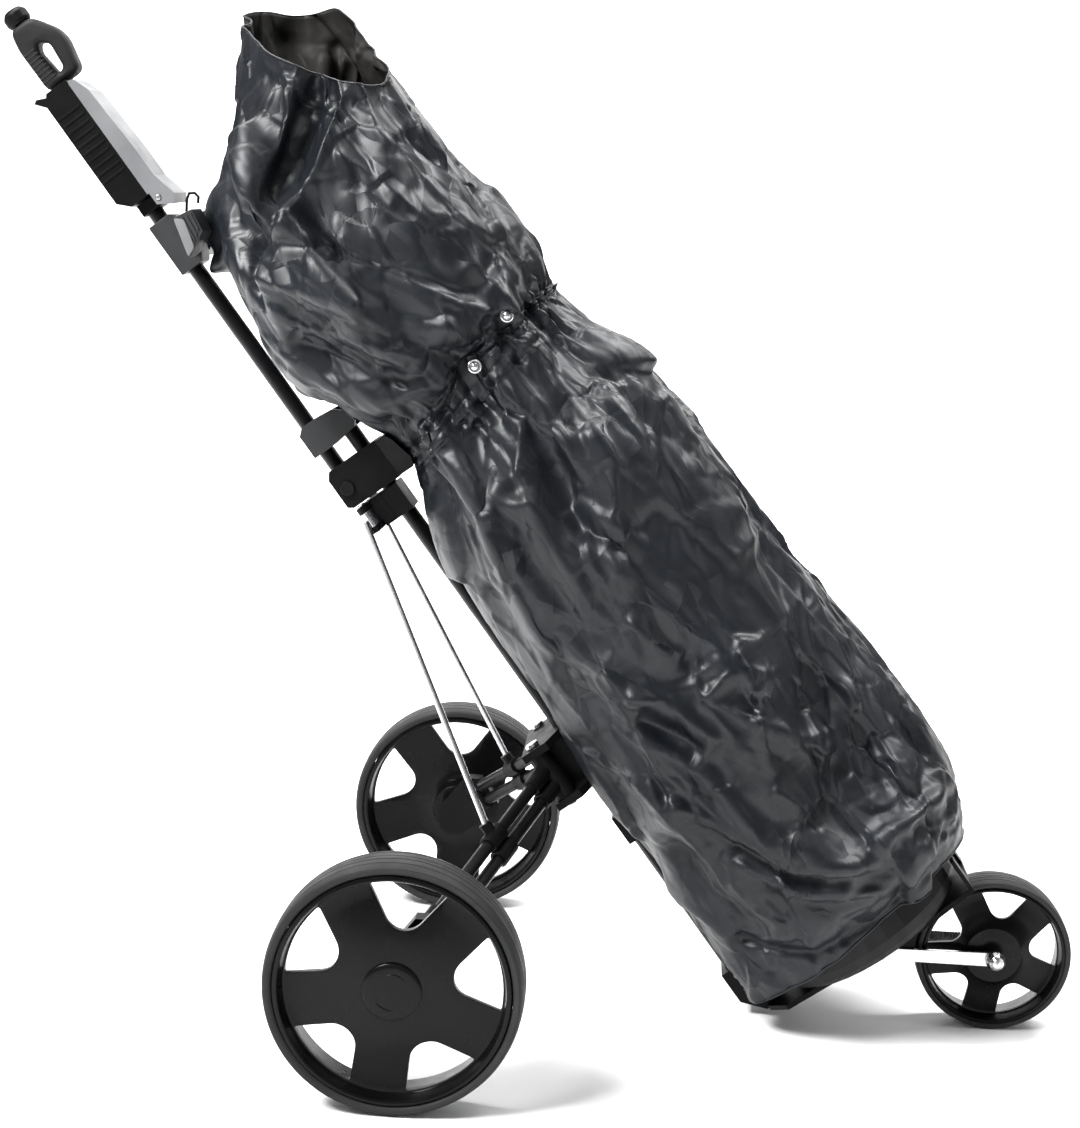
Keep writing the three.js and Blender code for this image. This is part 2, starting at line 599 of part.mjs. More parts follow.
// Wire hook on the bracket's right wing for the end of an elastic strap.
{
  const wire = 1.6;
  const path = [[312, 871.1], [320, 881], [326, 885], [331, 882], [332, 876], [327.5, 871]];
  const at = ([n, h]) => [n, -45, h];
  const rods = path.slice(1).map((p, i) => bar(at(path[i]), at(p), wire, 8));
  const knees = path.slice(1, -1).map((p) => new THREE.SphereGeometry(wire, 10, 8).translate(...at(p)));
  onTilt("strap_hook", join(...rods, ...knees), "black_paint");
}

// ---- the part, with the middle of its bounding box over the origin ------------------------------
const part = new THREE.Group();
part.add(cart);
part.updateMatrixWorld(true);
const box = new THREE.Box3().setFromObject(part, true);
cart.position.x = -(box.min.x + box.max.x) / 2;
part.updateMatrixWorld(true);

export default part;
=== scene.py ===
import json
import math

import bmesh
import bpy
import numpy as np
from mathutils import Matrix, Vector, kdtree
from mathutils.bvhtree import BVHTree


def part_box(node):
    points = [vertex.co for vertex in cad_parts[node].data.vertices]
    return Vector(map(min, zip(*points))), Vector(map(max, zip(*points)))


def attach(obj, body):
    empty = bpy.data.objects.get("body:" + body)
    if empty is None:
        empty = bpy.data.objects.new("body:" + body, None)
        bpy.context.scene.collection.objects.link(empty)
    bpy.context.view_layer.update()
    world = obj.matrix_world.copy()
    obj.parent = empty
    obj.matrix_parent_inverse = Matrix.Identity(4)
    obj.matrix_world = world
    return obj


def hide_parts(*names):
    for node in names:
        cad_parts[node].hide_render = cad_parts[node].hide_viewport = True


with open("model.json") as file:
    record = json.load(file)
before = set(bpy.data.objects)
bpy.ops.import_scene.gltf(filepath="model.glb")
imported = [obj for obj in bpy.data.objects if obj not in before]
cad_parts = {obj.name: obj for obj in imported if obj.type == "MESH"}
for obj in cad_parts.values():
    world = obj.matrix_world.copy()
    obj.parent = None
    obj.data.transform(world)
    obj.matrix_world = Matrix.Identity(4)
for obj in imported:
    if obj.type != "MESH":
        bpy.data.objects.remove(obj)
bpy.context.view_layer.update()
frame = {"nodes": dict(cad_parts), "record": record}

MM = 0.001


def span(node):
    low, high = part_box(node)
    return np.array(low, float), np.array(high, float)


# ---- the two working frames --------------------------------------------------------------------
# Axle line of the rear wheels on the floor is the origin of the leaning frame, whose first axis n
# runs square to the tubes towards the bag and whose last axis h runs up along them.
_low, _high = span("rim_rear_right")
AXLE_X = float((_low[0] + _high[0]) / 2)
LEAN = math.radians(37)
C, S = math.cos(LEAN), math.sin(LEAN)


def tilt(n, y, h):
    """Point of the leaning frame, in millimetres, as a row-frame point in metres."""
    return Vector((n * C * MM - h * S * MM + AXLE_X, y * MM, n * S * MM + h * C * MM))


def tilt_array(p):
    """The same for an array of points in millimetres."""
    out = np.empty_like(p)
    out[..., 0] = (p[..., 0] * C - p[..., 2] * S) * MM + AXLE_X
    out[..., 1] = p[..., 1] * MM
    out[..., 2] = (p[..., 0] * S + p[..., 2] * C) * MM
    return out


N_AXIS = Vector((C, 0, S))
H_AXIS = Vector((-S, 0, C))

# ---- camera ------------------------------------------------------------------------------------
CAM_AT = Vector((AXLE_X + 0.2492, -2.2755, 0.9238))
CAM_YAW, CAM_PITCH, CAM_ROLL = math.radians(-3.405), math.radians(10.322), math.radians(1.876)
CAM_LENS = 66.39


def make_camera():
    forward = Vector((math.sin(CAM_YAW) * math.cos(CAM_PITCH), math.cos(CAM_YAW) * math.cos(CAM_PITCH),
                      -math.sin(CAM_PITCH)))
    right = Vector((math.cos(CAM_YAW), -math.sin(CAM_YAW), 0))
    up = right.cross(forward)
    r = right * math.cos(CAM_ROLL) + up * math.sin(CAM_ROLL)
    u = up * math.cos(CAM_ROLL) - right * math.sin(CAM_ROLL)
    data = bpy.data.cameras.new("camera")
    data.lens = CAM_LENS
    data.sensor_width = 36
    cam = bpy.data.objects.new("camera", data)
    m = Matrix((r, u, -forward)).transposed().to_4x4()
    m.translation = CAM_AT
    cam.matrix_world = m
    bpy.context.scene.collection.objects.link(cam)
    bpy.context.scene.camera = cam


# ---- materials ---------------------------------------------------------------------------------
class Nodes:
    """Small helper that adds and joins shader nodes."""

    def __init__(self, name):
        self.mat = bpy.data.materials.new(name)
        self.mat.use_nodes = True
        self.tree = self.mat.node_tree
        self.bsdf = self.tree.nodes["Principled BSDF"]
        self.place = self.add("ShaderNodeTexCoord").outputs["Object"]

    def add(self, kind, **props):
        node = self.tree.nodes.new(kind)
        for k, v in props.items():
            setattr(node, k, v)
        return node

    def link(self, a, b):
        self.tree.links.new(a, b)

    def stretch(self, scale):
        node = self.add("ShaderNodeMapping")
        self.link(self.place, node.inputs["Vector"])
        node.inputs["Scale"].default_value = scale
        return node.outputs["Vector"]

    def noise(self, scale, detail=4.0, rough=0.55, where=None, distortion=0.0, kind="FBM"):
        node = self.add("ShaderNodeTexNoise", noise_type=kind)
        self.link(where or self.place, node.inputs["Vector"])
        node.inputs["Scale"].default_value = scale
        node.inputs["Detail"].default_value = detail
        node.inputs["Roughness"].default_value = rough
        node.inputs["Distortion"].default_value = distortion
        return node.outputs[0]

    def ramp(self, fac, stops):
        node = self.add("ShaderNodeValToRGB")
        self.link(fac, node.inputs["Fac"])
        el = node.color_ramp.elements
        while len(el) < len(stops):
            el.new(0.5)
        for e, (at, col) in zip(el, stops):
            e.position = at
            e.color = (*col, 1.0) if len(col) == 3 else col
        return node.outputs["Color"]

    def spread(self, fac, lo, hi, a=0.3, b=0.7):
        node = self.add("ShaderNodeMapRange")
        self.link(fac, node.inputs["Value"])
        node.inputs["From Min"].default_value = a
        node.inputs["From Max"].default_value = b
        node.inputs["To Min"].default_value = lo
        node.inputs["To Max"].default_value = hi
        return node.outputs["Result"]

    def math(self, op, a, b=None, value=None):
        node = self.add("ShaderNodeMath", operation=op)
        self.link(a, node.inputs[0])
        if b is not None:
            self.link(b, node.inputs[1])
        if value is not None:
            node.inputs[1].default_value = value
        return node.outputs[0]

    def bump(self, height, strength, distance, after=None):
        node = self.add("ShaderNodeBump")
        self.link(height, node.inputs["Height"])
        node.inputs["Strength"].default_value = strength
        node.inputs["Distance"].default_value = distance
        if after is not None:
            self.link(after, node.inputs["Normal"])
        return node.outputs["Normal"]

    def finish(self, color, rough, normal, metallic=0.0, specular=0.5, coat=0.0):
        b = self.bsdf
        self.link(color, b.inputs["Base Color"])
        self.link(rough, b.inputs["Roughness"])
        if normal is not None:
            self.link(normal, b.inputs["Normal"])
        b.inputs["Metallic"].default_value = metallic
        b.inputs["Specular IOR Level"].default_value = specular
        b.inputs["Coat Weight"].default_value = coat
        b.inputs["Coat Roughness"].default_value = 0.1
        return self.mat


PATCH = 14           # mottles to the metre in a plain material


def plain(name, dark, light, rough, grain, depth, specular, coat=0.0):
    """Moulded, painted or rubber surface: mottled colour, uneven gloss and a fine grain."""
    n = Nodes(name)
    color = n.ramp(n.noise(PATCH, 6), [(0.3, dark), (0.7, light)])
    gloss = n.spread(n.noise(PATCH * 3.1, 5), *rough)
    fine = n.bump(n.noise(grain, 3, 0.6), 0.35, depth)
    wide = n.bump(n.noise(PATCH * 2.2, 3), 0.25, depth * 4, after=fine)
    return n.finish(color, gloss, wide, specular=specular, coat=coat)


def brushed(name, dark, light, rough, axis):
    """Turned or drawn metal with fine lines across the given axis."""
    n = Nodes(name)
    scale = [900, 900, 900]
    scale[axis] = 25
    lines = n.noise(1.0, 3, 0.6, where=n.stretch(scale))
    color = n.ramp(n.noise(22, 5), [(0.3, dark), (0.7, light)])
    gloss = n.spread(lines, *rough)
    return n.finish(color, gloss, n.bump(lines, 0.25, 0.0002), metallic=1.0)


def weave(n, pitch, depth, after=None):
    """Fine plain weave as a bump, thread pitch in metres."""
    waves = []
    for direction in ("X", "Z"):
        w = n.add("ShaderNodeTexWave", wave_type="BANDS", bands_direction=direction)
        n.link(n.place, w.inputs["Vector"])
        w.inputs["Scale"].default_value = 0.314 / pitch
        waves.append(w.outputs["Fac"])
    both = n.math("MULTIPLY", waves[0], waves[1])
    return n.bump(both, 0.3, depth, after)


def panels(n, where, scale, slope, share, after):
    """Flat panels tilted at random, one to each cell, that meet along sharp creases: a bump."""
    cell = n.add("ShaderNodeTexVoronoi", feature="F1")
    n.link(where, cell.inputs["Vector"])
    cell.inputs["Scale"].default_value = scale
    offset = n.add("ShaderNodeVectorMath", operation="SUBTRACT")
    n.link(where, offset.inputs[0])
    n.link(cell.outputs["Position"], offset.inputs[1])
    lean = n.add("ShaderNodeVectorMath", operation="SUBTRACT")
    n.link(cell.outputs["Color"], lean.inputs[0])
    lean.inputs[1].default_value = (0.5, 0.5, 0.5)
    plane = n.add("ShaderNodeVectorMath", operation="DOT_PRODUCT")
    n.link(offset.outputs["Vector"], plane.inputs[0])
    n.link(lean.outputs["Vector"], plane.inputs[1])
    return n.bump(n.math("MULTIPLY", plane.outputs["Value"], share), 1.0, slope, after)


def nylon():
    """Coated nylon: dark blue-grey, softly glossy, crumpled into flat panels with sharp creases."""
    n = Nodes("coated_nylon")
    color = n.ramp(n.noise(5, 8, 0.6, distortion=0.6),
                   [(0.25, (0.003, 0.0036, 0.005)), (0.55, (0.0065, 0.008, 0.0108)),
                    (0.8, (0.012, 0.0146, 0.0195))])
    gloss = n.spread(n.noise(9, 6, 0.6), 0.35, 0.50)
    normal = weave(n, 0.0011, 0.0001)
    busy = n.spread(n.noise(7, 2), 0.25, 1.0, 0.42, 0.62)
    drift = n.add("ShaderNodeTexNoise")
    n.link(n.place, drift.inputs["Vector"])
    drift.inputs["Scale"].default_value = 9
    drift.inputs["Detail"].default_value = 1
    warped = n.add("ShaderNodeVectorMath", operation="MULTIPLY_ADD")
    n.link(drift.outputs["Color"], warped.inputs[0])
    warped.inputs[1].default_value = (0.08, 0.08, 0.08)
    n.link(n.place, warped.inputs[2])
    along = n.add("ShaderNodeMapping", vector_type="TEXTURE")
    n.link(warped.outputs["Vector"], along.inputs["Vector"])
    along.inputs["Rotation"].default_value = (0, -LEAN, 0)
    along.inputs["Scale"].default_value = (1, 1, 1.9)
    for scale, slope in ((46, 0.34), (19, 0.55)):
        normal = panels(n, along.outputs["Vector"], scale, slope, busy, normal)
    ridge = n.noise(34, 3, 0.5, distortion=0.7, kind="RIDGED_MULTIFRACTAL")
    normal = n.bump(n.math("MULTIPLY", ridge, busy), 0.3, 0.0022, after=normal)
    return n.finish(color, gloss, normal, specular=0.34)


# name: dark and light colour, roughness range, grain frequency and depth, specular level, coat
PLAIN = {
    "black_paint": ((0.003, 0.003, 0.0034), (0.006, 0.006, 0.0066), (0.26, 0.42), 900, 0.00012, 0.14),
    "black_plastic": ((0.002, 0.002, 0.0022), (0.005, 0.005, 0.0054), (0.40, 0.56), 1400, 0.0002, 0.09),
    "gloss_black": ((0.002, 0.002, 0.0022), (0.004, 0.004, 0.0044), (0.24, 0.36), 800, 0.0001, 0.09, 0.06),
    "grey_plastic": ((0.07, 0.072, 0.076), (0.10, 0.102, 0.108), (0.36, 0.5), 1200, 0.00015, 0.3),
    "tyre_rubber": ((0.016, 0.016, 0.0165), (0.026, 0.026, 0.0265), (0.5, 0.7), 1100, 0.0003, 0.16),
    "grip_rubber": ((0.006, 0.006, 0.006), (0.012, 0.012, 0.012), (0.5, 0.7), 1500, 0.0004, 0.2),
    "bag_fabric": ((0.005, 0.005, 0.006), (0.010, 0.010, 0.011), (0.7, 0.9), 1500, 0.0005, 0.15),
    "pale_plastic": ((0.13, 0.133, 0.138), (0.19, 0.193, 0.199), (0.36, 0.5), 1200, 0.00015, 0.3),
    "dark_plastic": ((0.020, 0.0205, 0.0215), (0.032, 0.0325, 0.034), (0.40, 0.55), 1200, 0.00015, 0.2),
    "cover_inside": ((0.010, 0.0095, 0.009), (0.020, 0.0185, 0.017), (0.55, 0.75), 700, 0.0004, 0.2),
    "bag_plastic": ((0.005, 0.005, 0.006), (0.010, 0.010, 0.011), (0.4, 0.6), 1300, 0.0002, 0.2),
}
MAKE = {name: (lambda name=name, p=p: plain(name, *p)) for name, p in PLAIN.items()}
MAKE["silver_steel"] = lambda: brushed("silver_steel", (0.50, 0.50, 0.51), (0.66, 0.66, 0.68), (0.2, 0.36), 2)
MAKE["coated_nylon"] = nylon
MATERIALS = {}


def material(name):
    if name not in MATERIALS:
        MATERIALS[name] = MAKE[name]()
    return MATERIALS[name]


# ---- mesh helpers ------------------------------------------------------------------------------
def add_mesh(name, verts, faces, mat, body=None, smooth=40):
    mesh = bpy.data.meshes.new(name)
    mesh.from_pydata([tuple(v) for v in verts], [], [tuple(f) for f in faces])
    mesh.validate()
    if mat:
        mesh.materials.append(material(mat))
    obj = bpy.data.objects.new(name, mesh)
    bpy.context.scene.collection.objects.link(obj)
    shade(obj, smooth)
    if body:
        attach(obj, body)
    return obj


def shade(obj, angle):
    mesh = obj.data
    mesh.polygons.foreach_set("use_smooth", [True] * len(mesh.polygons))
    if angle is not None:
        mesh.set_sharp_from_angle(angle=math.radians(angle))
    mesh.update()


def apply_modifiers(obj):
    bpy.context.view_layer.update()
    graph = bpy.context.evaluated_depsgraph_get()
    made = bpy.data.meshes.new_from_object(obj.evaluated_get(graph), depsgraph=graph)
    obj.modifiers.clear()
    old = obj.data
    obj.data = made
    bpy.data.meshes.remove(old)


def bevel(obj, width, segments=2, angle=30):
    m = obj.modifiers.new("bevel", "BEVEL")
    m.width = width
    m.segments = segments
    m.limit_method = "ANGLE"
    m.angle_limit = math.radians(angle)


def revolve(profile, steps, at, wave=None):
    """Closed profile of (radius, y) turned about the Y axis through at. wave(i, k, r, y) may move a point."""
    verts, faces = [], []
    m = len(profile)
    for i in range(steps):
        a = 2 * math.pi * i / steps
        for k, (r, y) in enumerate(profile):
            if wave:
                r, y = wave(i, k, r, y)
            verts.append((at[0] + r * math.cos(a), at[1] + y, at[2] + r * math.sin(a)))
    for i in range(steps):
        j = (i + 1) % steps
        for k in range(m):
            l = (k + 1) % m
            faces.append((i * m + k, i * m + l, j * m + l, j * m + k))
    return verts, faces


# nodes whose shade differs from the rest of their slot
LOOKS = {"console_lid": "pale_plastic", "latch_clamp": "dark_plastic", "handle_bracket": "dark_plastic",
         "hinge_pin": "black_paint"}


def finish_cad_nodes():
    """The record's slots decide which material each CAD node gets; its edges are eased."""
    for entry in frame["record"]["subparts"]:
        obj = frame["nodes"].get(entry["node"])
        if obj is None:
            continue
        obj.data.materials.clear()
        obj.data.materials.append(material(LOOKS.get(entry["node"], entry["material_slot"])))
        weld = obj.modifiers.new("weld", "WELD")
        weld.merge_threshold = 0.00002
        bevel(obj, 0.0009, 2, 38)


# ---- stage -------------------------------------------------------------------------------------
WORLD = 0.16
LIGHTS = (
    ("key", (-1.9, -1.6, 3.0), (0.05, 0.0, 0.6), (1.3, 1.0), 250),
    ("top", (0.6, 0.4, 3.2), (0.1, 0.0, 0.4), (2.4, 1.6), 50),
    ("front", (-0.6, -3.6, 1.5), (0.0, 0.0, 0.55), (2.2, 1.2), 6),
    ("side", (2.8, -0.6, 1.6), (0.1, 0.0, 0.5), (0.6, 1.8), 9),
    ("wall_left", (-2.4, 1.6, 4.6), (-1.2, 5.2, 1.0), (2.5, 1.5), 520),
    ("wall_right", (2.4, 1.6, 4.6), (1.2, 5.2, 1.0), (2.5, 1.5), 520),
)


def make_stage():
    n = Nodes("floor_paint")
    color = n.ramp(n.noise(1.5, 3), [(0.3, (0.90, 0.90, 0.90)), (0.7, (0.92, 0.92, 0.92))])
    n.finish(color, n.spread(n.noise(3, 3), 0.8, 0.9), None, specular=0.2)
    MATERIALS["floor_paint"] = n.mat
    # a floor that turns up into a wall behind the object
    wide, front, back, radius, top = 4.0, -3.4, 4.6, 1.6, 7.0
    turns = [math.pi / 2 * k / 16 for k in range(17)]
    line = [(front, 0.0)] + [(back + radius * math.sin(a), radius - radius * math.cos(a)) for a in turns]
    line.append((back + radius, top))
    verts = [(x, y, z) for y, z in line for x in (-wide, wide)]
    faces = [(2 * k, 2 * k + 1, 2 * k + 3, 2 * k + 2) for k in range(len(line) - 1)]
    add_mesh("floor", verts, faces, "floor_paint", smooth=60)
    world = bpy.data.worlds.new("world")
    world.use_nodes = True
    sky = world.node_tree.nodes["Background"]
    sky.inputs["Color"].default_value = (1, 1, 1, 1)
    sky.inputs["Strength"].default_value = WORLD
    tree = world.node_tree
    seen = tree.nodes.new("ShaderNodeBackground")
    path = tree.nodes.new("ShaderNodeLightPath")
    mix = tree.nodes.new("ShaderNodeMixShader")
    tree.links.new(path.outputs["Is Camera Ray"], mix.inputs["Fac"])
    tree.links.new(sky.outputs["Background"], mix.inputs[1])
    tree.links.new(seen.outputs["Background"], mix.inputs[2])
    tree.links.new(mix.outputs["Shader"], tree.nodes["World Output"].inputs["Surface"])
    bpy.context.scene.world = world
    for name, at, target, size, power in LIGHTS:
        data = bpy.data.lights.new(name, "AREA")
        data.shape = "RECTANGLE"
        data.size, data.size_y = size
        data.energy = power
        light = bpy.data.objects.new(name, data)
        light.location = at
        light.rotation_euler = (Vector(target) - Vector(at)).to_track_quat("-Z", "Y").to_euler()
        bpy.context.scene.collection.objects.link(light)


# ---- rain cover --------------------------------------------------------------------------------
# Rings from hem to hood mouth, in millimetres of the leaning frame: rear n and h, front n and h,
# half width, and how far the left side stands above the right one.
RINGS = (
    (303, -196, 618, -170, 126, 0), (305, -150, 642, -122, 150, 0), (307, -80, 650, -60, 162, 0),
    (308, 20, 645, 30, 163, 0), (309, 120, 638, 130, 162, 0), (310, 220, 631, 235, 159, 0),
    (311, 320, 624, 340, 155, 0), (317, 400, 620, 430, 148, 0), (330, 455, 612, 490, 135, 0),
    (344, 492, 592, 535, 120, 0), (351, 518, 578, 565, 112, 0), (346, 545, 588, 588, 119, 0),
    (328, 580, 597, 615, 133, 0), (318, 619, 599, 640, 141, 0), (300, 648, 599, 668, 146, 0),
    (297, 690, 596, 705, 149, 0), (302, 735, 588, 745, 145, 0), (307, 775, 582, 786, 136, 0),
    (313, 806, 576, 824, 126, 0), (344, 872, 573, 850, 113, 8), (410, 930, 572, 862, 104, 22),
    (474, 998, 570, 872, 97, 42),
)
NECK = 10            # index of the gathered ring
AROUND, ALONG = 180, 250
SLACK = -0.013       # negative shrink: the cloth is this much too large each way
# Main folds of the right side, as depth (outward is positive), width and points (n, h).
FOLDS = (
    (17, 30, (500, 970), (505, 915), (470, 880), (405, 835), (340, 770)),
    (-38, 26, (535, 920), (505, 885), (445, 845), (370, 795), (340, 770)),
    (15, 16, (545, 925), (525, 865), (465, 820), (365, 780)),
    (9, 12, (565, 880), (545, 870), (535, 810), (550, 710), (575, 625)),
    (-9, 10, (545, 900), (520, 875), (510, 830)),
    (-10, 12, (550, 805), (585, 710), (595, 670)),
    (12, 18, (340, 770), (405, 700), (465, 625), (505, 575)),
    (-10, 12, (340, 765), (395, 685), (440, 620), (465, 585)),
    (9, 12, (335, 750), (350, 710), (420, 625), (460, 580)),
    (10, 14, (400, 805), (440, 725), (490, 650), (530, 590)),
    (-9, 12, (375, 790), (430, 745), (495, 660), (530, 605)),
    (8, 12, (490, 825), (515, 755), (535, 680)),
    (-7, 12, (510, 745), (535, 690), (540, 645)),
    (-8, 10, (600, 655), (585, 595), (575, 565)),
    (-8, 12, (325, 710), (375, 640), (420, 580)),
    (15, 18, (400, 545), (410, 460), (385, 355), (380, 290), (390, 220)),
    (-11, 14, (445, 515), (455, 465), (440, 415)),
    (9, 14, (500, 495), (450, 445), (445, 370), (440, 260)),
    (-10, 14, (495, 445), (485, 375), (475, 295), (450, 260)),
    (16, 20, (545, 455), (540, 395), (485, 300), (505, 215), (545, 130)),
    (8, 14, (570, 470), (580, 365), (585, 295)),
    (9, 18, (620, 425), (630, 350), (630, 275), (630, 175), (605, 90)),
    (-22, 30, (625, 240), (625, 150), (590, 60), (535, -35), (530, -90)),
    (12, 14, (510, 100), (540, 50), (570, 25), (545, -10)),
    (10, 12, (380, 75), (425, 10), (460, -60), (555, -120)),
    (12, 10, (405, -20), (445, -85), (535, -150)),
    (-12, 9, (415, -5), (455, -70), (545, -135)),
    (8, 14, (365, 110), (375, 70), (385, 0), (360, -85)),
    (-13, 9, (335, -105), (415, -165), (495, -175), (605, -150)),
    (11, 12, (530, -90), (585, -95), (635, -105)),
    (11, 12, (415, 190), (445, 165), (460, 115), (475, 85)),
    (-10, 12, (410, 165), (430, 130), (450, 90)),
    (10, 10, (480, 140), (520, 150), (545, 125), (520, 110)),
    (9, 12, (490, 190), (475, 210), (460, 265)),
    (10, 12, (485, 25), (505, -15), (460, -55)),
)


def cover_grid():
    """Rows of points in millimetres, shape (ALONG, AROUND, 3), and each row's ring number."""
    number = np.arange(len(RINGS), dtype=float)[:, None]
    mids = np.array(RINGS, float)
    weight = np.concatenate([mids, number], axis=1)
    p = mids[:, :5]
    seg = np.linalg.norm(np.diff(p, axis=0), axis=1)
    at = np.concatenate([[0], np.cumsum(seg)]) / seg.sum()
    dense = 1 + 1.6 * np.exp(-((np.linspace(0, 1, 2000) - at[NECK]) / 0.045) ** 2)
    run = np.concatenate([[0], np.cumsum(dense)])[:-1]
    spread = np.interp(np.linspace(0, run[-1], ALONG), run, np.linspace(0, 1, 2000))
    slope = np.gradient(weight, at, axis=0)
    k = np.clip(np.searchsorted(at, spread, side="right") - 1, 0, len(p) - 2)
    w = (at[k + 1] - at[k])[:, None]
    u = ((spread - at[k])[:, None]) / w
    rows = ((2 * u**3 - 3 * u**2 + 1) * weight[k] + (u**3 - 2 * u**2 + u) * w * slope[k]
            + (3 * u**2 - 2 * u**3) * weight[k + 1] + (u**3 - u**2) * w * slope[k + 1])
    turn = np.linspace(0, 2 * np.pi, AROUND, endpoint=False)
    # a little squarer than an ellipse
    ease = [np.sign(v) * np.abs(v) ** 0.86 for v in (np.cos(turn), np.sin(turn))]
    grid = np.zeros((ALONG, AROUND, 3))
    for j, (rn, rh, fn, fh, b, lift, _) in enumerate(rows):
        mid = np.array([(rn + fn) / 2, (rh + fh) / 2])
        half = np.array([(fn - rn) / 2, (fh - rh) / 2])
        y = b * ease[1]
        grid[j, :, 0] = mid[0] - half[0] * ease[0]
        grid[j, :, 1] = y
        grid[j, :, 2] = mid[1] - half[1] * ease[0]
        reach = np.maximum(0, np.abs(y) - 40) * 1.5
        low = np.where(grid[j, :, 2] < 515, 342, np.where(grid[j, :, 2] < 625, 330, 0))
        grid[j, :, 0] = np.maximum(grid[j, :, 0], low - reach)
        grid[j, :, 2] += lift * y / b
    add_hood(grid, rows[:, 6])
    return grid, rows[:, 6]


def add_hood(grid, number):
    """The far side of the hood stands up in front, and its rear hem ends in a low pointed tail."""
    n, y, h = grid[..., 0], grid[..., 1], grid[..., 2]
    top = smoothstep((number - 18.4) / 2.6)[:, None]
    far = smoothstep((y + 10) / 70)
    corner = top * far * smoothstep((n - 505) / 50)
    n += 0.7 * (574 - n) * corner
    h += 24 * corner * smoothstep((n - 500) / 70)
    tail = np.exp(-(y / 30) ** 2) * (n < 430)
    rise = np.clip((h - 796) / 14, 0, 1) * np.clip((905 - h) / 90, 0, 1)
    n -= 34 * tail * rise


def grid_faces(rows, cols):
    j, i = np.meshgrid(np.arange(rows - 1), np.arange(cols), indexing="ij")
    k = (i + 1) % cols
    quads = np.stack([j * cols + i, j * cols + k, (j + 1) * cols + k, (j + 1) * cols + i], axis=-1)
    return quads.reshape(-1, 4)[:, ::-1]


def grid_normals(g):
    du = np.roll(g, -1, axis=1) - np.roll(g, 1, axis=1)
    dv = np.gradient(g, axis=0)
    n = np.cross(du, dv)
    n /= np.linalg.norm(n, axis=-1, keepdims=True) + 1e-9
    centre = g.mean(axis=1, keepdims=True)
    flip = np.sign(np.sum(n * (g - centre), axis=-1, keepdims=True).mean(axis=1, keepdims=True))
    return n * np.where(flip == 0, 1, flip)


def smoothstep(x):
    x = np.clip(x, 0, 1)
    return x * x * (3 - 2 * x)


def line_distance(n, h, points):
    """Distance of every (n, h) from a polyline, and how far along it the nearest point is."""
    best = np.full(n.shape, 1e9)
    along = np.zeros(n.shape)
    pts = np.array(points, float)
    seg = np.linalg.norm(np.diff(pts, axis=0), axis=1)
    run = np.concatenate([[0], np.cumsum(seg)]) / seg.sum()
    for k in range(len(pts) - 1):
        d = pts[k + 1] - pts[k]
        t = np.clip(((n - pts[k, 0]) * d[0] + (h - pts[k, 1]) * d[1]) / seg[k] ** 2, 0, 1)
        dist = np.hypot(n - pts[k, 0] - t * d[0], h - pts[k, 1] - t * d[1])
        near = dist < best
        best = np.where(near, dist, best)
        along = np.where(near, run[k] + t * (run[k + 1] - run[k]), along)
    return best, along


def fold_height(grid, half):
    """How far the listed folds push each point out, near side as listed, far side set off a little."""
    out = np.zeros(grid.shape[:2])
    n, y, h = grid[..., 0], grid[..., 1], grid[..., 2]
    for side, shift, gain in ((-1, (0, 0), 1.0), (1, (-12, 24), 0.85)):
        facing = smoothstep(side * y / (0.62 * half[:, None]))
        for depth, width, *points in FOLDS:
            pts = [(a + shift[0], b + shift[1]) for a, b in points]
            d, t = line_distance(n, h, pts)
            fade = smoothstep(t / 0.12 + 0.35) * smoothstep((1 - t) / 0.2)
            out += gain * depth * facing * fade * np.exp(-d / width)
    return out


def facets(points, cell, stretch, tilt, seed, hard=7.0):
    """Crumpled sheet: every cell gets its own tilted plane, blended quickly into its neighbours."""
    rng = np.random.default_rng(seed)
    flat = points.reshape(-1, 3) / (np.array(stretch) * cell)
    low, high = flat.min(axis=0) - 1, flat.max(axis=0) + 1
    count = int(np.prod(high - low) * 1.15)
    seeds = rng.uniform(low, high, (count, 3))
    slopes = rng.normal(0, 1, (count, 3))
    tree = kdtree.KDTree(count)
    for i, s in enumerate(seeds):
        tree.insert(s, i)
    tree.balance()
    near = np.array([[f[1] for f in tree.find_n(p, 4)] for p in flat])
    d = flat[:, None, :] - seeds[near]
    dist = np.sum(d * d, axis=-1)
    w = np.exp(-hard * (dist - dist[:, :1]))
    plane = np.sum(d * slopes[near], axis=-1)
    value = np.sum(w * plane, axis=1) / np.sum(w, axis=1)
    return (value * tilt * cell).reshape(points.shape[:-1])


